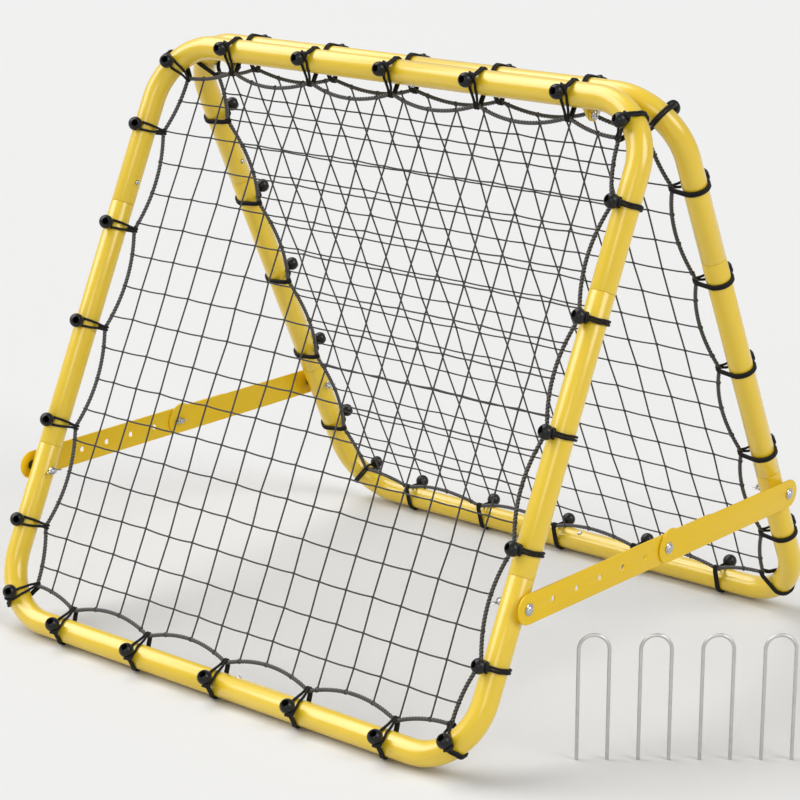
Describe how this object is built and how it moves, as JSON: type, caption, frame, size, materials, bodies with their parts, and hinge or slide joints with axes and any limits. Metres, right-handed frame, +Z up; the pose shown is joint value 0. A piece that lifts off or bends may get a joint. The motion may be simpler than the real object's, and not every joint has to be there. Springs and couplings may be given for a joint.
{
  "type": "soccer rebounder",
  "caption": "Folding two-sided soccer rebounder: two hinged square tube frames with bungee-tied nets, flat side braces and loose ground stakes.",
  "frame": {"origin": "on the ground, in the middle of the box round the rebounder and its row of stakes", "axes": "+X runs along the top tubes towards the stakes, -Y is the front frame's side, +Z is up"},
  "size_m": [1.296, 0.9422, 0.914],
  "materials": {
    "tube_paint": "gloss",
    "brace_paint": "gloss",
    "zinc": "bright zinc",
    "galvanised": "galvanised",
    "black_plastic": "satin",
    "bungee": "satin",
    "net_cord": "matte"
  },
  "bodies": {
    "front_frame": {"front_top_left_tube": "tube_paint", "front_top_right_tube": "tube_paint", "front_bottom_left_tube": "tube_paint", "front_bottom_right_tube": "tube_paint", "front_left_side_tube": "tube_paint", "front_right_side_tube": "tube_paint", "left_hinge_bolt": "zinc", "right_hinge_bolt": "zinc", "left_hinge_nut": "zinc", "right_hinge_nut": "zinc", "front_left_pivot_bolt": "zinc", "front_right_pivot_bolt": "zinc", "front_left_spacer": "black_plastic", "front_right_spacer": "black_plastic", "front_net": "net_cord", "front_net_border": "bungee", "front_left_foot_tie": "bungee", "front_middle_foot_tie": "bungee", "front_right_foot_tie": "bungee"},
    "rear_frame": {"rear_top_left_tube": "tube_paint", "rear_top_right_tube": "tube_paint", "rear_bottom_left_tube": "tube_paint", "rear_bottom_right_tube": "tube_paint", "rear_left_side_tube": "tube_paint", "rear_right_side_tube": "tube_paint", "rear_left_pivot_bolt": "zinc", "rear_right_pivot_bolt": "zinc", "rear_left_spacer": "black_plastic", "rear_right_spacer": "black_plastic", "rear_net": "net_cord", "rear_net_border": "bungee", "rear_left_foot_tie": "bungee", "rear_middle_foot_tie": "bungee", "rear_right_foot_tie": "bungee"},
    "front_left_bar": {"front_left_brace": "brace_paint", "left_middle_bolt": "zinc"},
    "front_right_bar": {"front_right_brace": "brace_paint"},
    "rear_left_bar": {"rear_left_brace": "brace_paint"},
    "rear_right_bar": {"rear_right_brace": "brace_paint", "right_middle_bolt": "zinc"},
    "front_left_wing": {"front_left_wing_nut": "zinc"},
    "front_right_wing": {"front_right_wing_nut": "zinc"},
    "rear_left_wing": {"rear_left_wing_nut": "zinc"},
    "rear_right_wing": {"rear_right_wing_nut": "zinc"},
    "left_middle_wing": {"left_middle_wing_nut": "zinc"},
    "right_middle_wing": {"right_middle_wing_nut": "zinc"},
    "front_left_lock": {"front_left_button": "zinc"},
    "front_right_lock": {"front_right_button": "zinc"},
    "front_top_lock": {"front_top_button": "zinc"},
    "front_bottom_lock": {"front_bottom_button": "zinc"},
    "rear_left_lock": {"rear_left_button": "zinc"},
    "rear_right_lock": {"rear_right_button": "zinc"},
    "rear_top_lock": {"rear_top_button": "zinc"},
    "rear_bottom_lock": {"rear_bottom_button": "zinc"},
    "ground_stake_1": {"stake_1": "galvanised"},
    "ground_stake_2": {"stake_2": "galvanised"},
    "ground_stake_3": {"stake_3": "galvanised"},
    "ground_stake_4": {"stake_4": "galvanised"}
  },
  "joints": [
    {"name": "frame_fold", "type": "hinge", "parent": "front_frame", "child": "rear_frame", "pos_m": [-0.13089, 0, 0.86198], "axis": [-1, 0, 0], "range_deg": [0, 50.88]},
    {"name": "front_left_brace_turn", "type": "hinge", "parent": "front_frame", "child": "front_left_bar", "pos_m": [-0.64119, -0.33319, 0.23535], "axis": [1, 0, 0], "range_deg": [0, 59.11]},
    {"name": "front_right_brace_turn", "type": "hinge", "parent": "front_frame", "child": "front_right_bar", "pos_m": [0.37611, -0.33319, 0.23535], "axis": [1, 0, 0], "range_deg": [0, 59.11]},
    {"name": "rear_left_brace_turn", "type": "hinge", "parent": "rear_frame", "child": "rear_left_bar", "pos_m": [-0.63789, 0.33319, 0.23535], "axis": [-1, 0, 0], "range_deg": [0, 59.11]},
    {"name": "rear_right_brace_turn", "type": "hinge", "parent": "rear_frame", "child": "rear_right_bar", "pos_m": [0.37941, 0.33319, 0.23535], "axis": [-1, 0, 0], "range_deg": [0, 59.11]},
    {"name": "front_left_wing_spin", "type": "hinge", "parent": "front_frame", "child": "front_left_wing", "pos_m": [-0.58659, -0.33319, 0.23535], "axis": [1, 0, 0], "continuous": true},
    {"name": "front_right_wing_spin", "type": "hinge", "parent": "front_frame", "child": "front_right_wing", "pos_m": [0.32481, -0.33319, 0.23535], "axis": [-1, 0, 0], "continuous": true},
    {"name": "rear_left_wing_spin", "type": "hinge", "parent": "rear_frame", "child": "rear_left_wing", "pos_m": [-0.58659, 0.33319, 0.23535], "axis": [1, 0, 0], "continuous": true},
    {"name": "rear_right_wing_spin", "type": "hinge", "parent": "rear_frame", "child": "rear_right_wing", "pos_m": [0.32481, 0.33319, 0.23535], "axis": [-1, 0, 0], "continuous": true},
    {"name": "left_middle_wing_spin", "type": "hinge", "parent": "rear_left_bar", "child": "left_middle_wing", "pos_m": [-0.63174, 0, 0.23535], "axis": [1, 0, 0], "continuous": true},
    {"name": "right_middle_wing_spin", "type": "hinge", "parent": "front_right_bar", "child": "right_middle_wing", "pos_m": [0.36996, 0, 0.23535], "axis": [-1, 0, 0], "continuous": true},
    {"name": "front_left_button_press", "type": "slide", "parent": "front_frame", "child": "front_left_lock", "axis": [-1, 0, 0], "range_m": [0, 0.004], "stiffness_N_per_m": 400, "springref_m": -0.002},
    {"name": "front_right_button_press", "type": "slide", "parent": "front_frame", "child": "front_right_lock", "axis": [1, 0, 0], "range_m": [0, 0.004], "stiffness_N_per_m": 400, "springref_m": -0.002},
    {"name": "front_top_button_press", "type": "slide", "parent": "front_frame", "child": "front_top_lock", "axis": [0, 0.4296, 0.903], "range_m": [0, 0.004], "stiffness_N_per_m": 400, "springref_m": -0.002},
    {"name": "front_bottom_button_press", "type": "slide", "parent": "front_frame", "child": "front_bottom_lock", "axis": [0, -0.4296, -0.903], "range_m": [0, 0.004], "stiffness_N_per_m": 400, "springref_m": -0.002},
    {"name": "rear_left_button_press", "type": "slide", "parent": "rear_frame", "child": "rear_left_lock", "axis": [-1, 0, 0], "range_m": [0, 0.004], "stiffness_N_per_m": 400, "springref_m": -0.002},
    {"name": "rear_right_button_press", "type": "slide", "parent": "rear_frame", "child": "rear_right_lock", "axis": [1, 0, 0], "range_m": [0, 0.004], "stiffness_N_per_m": 400, "springref_m": -0.002},
    {"name": "rear_top_button_press", "type": "slide", "parent": "rear_frame", "child": "rear_top_lock", "axis": [0, -0.4296, 0.903], "range_m": [0, 0.004], "stiffness_N_per_m": 400, "springref_m": -0.002},
    {"name": "rear_bottom_button_press", "type": "slide", "parent": "rear_frame", "child": "rear_bottom_lock", "axis": [0, 0.4296, -0.903], "range_m": [0, 0.004], "stiffness_N_per_m": 400, "springref_m": -0.002},
    {"name": "stake_1_pull", "type": "slide", "parent": "front_frame", "child": "ground_stake_1", "axis": [0, 0, 1], "range_m": [0, 0.15]},
    {"name": "stake_2_pull", "type": "slide", "parent": "front_frame", "child": "ground_stake_2", "axis": [0, 0, 1], "range_m": [0, 0.15]},
    {"name": "stake_3_pull", "type": "slide", "parent": "front_frame", "child": "ground_stake_3", "axis": [0, 0, 1], "range_m": [0, 0.15]},
    {"name": "stake_4_pull", "type": "slide", "parent": "front_frame", "child": "ground_stake_4", "axis": [0, 0, 1], "range_m": [0, 0.15]}
  ],
  "couplings": [
    {"joint": "front_left_brace_turn", "follows": "frame_fold", "ratio": 1.1616},
    {"joint": "front_right_brace_turn", "follows": "frame_fold", "ratio": 1.1616},
    {"joint": "rear_left_brace_turn", "follows": "frame_fold", "ratio": 1.1616},
    {"joint": "rear_right_brace_turn", "follows": "frame_fold", "ratio": 1.1616}
  ]
}
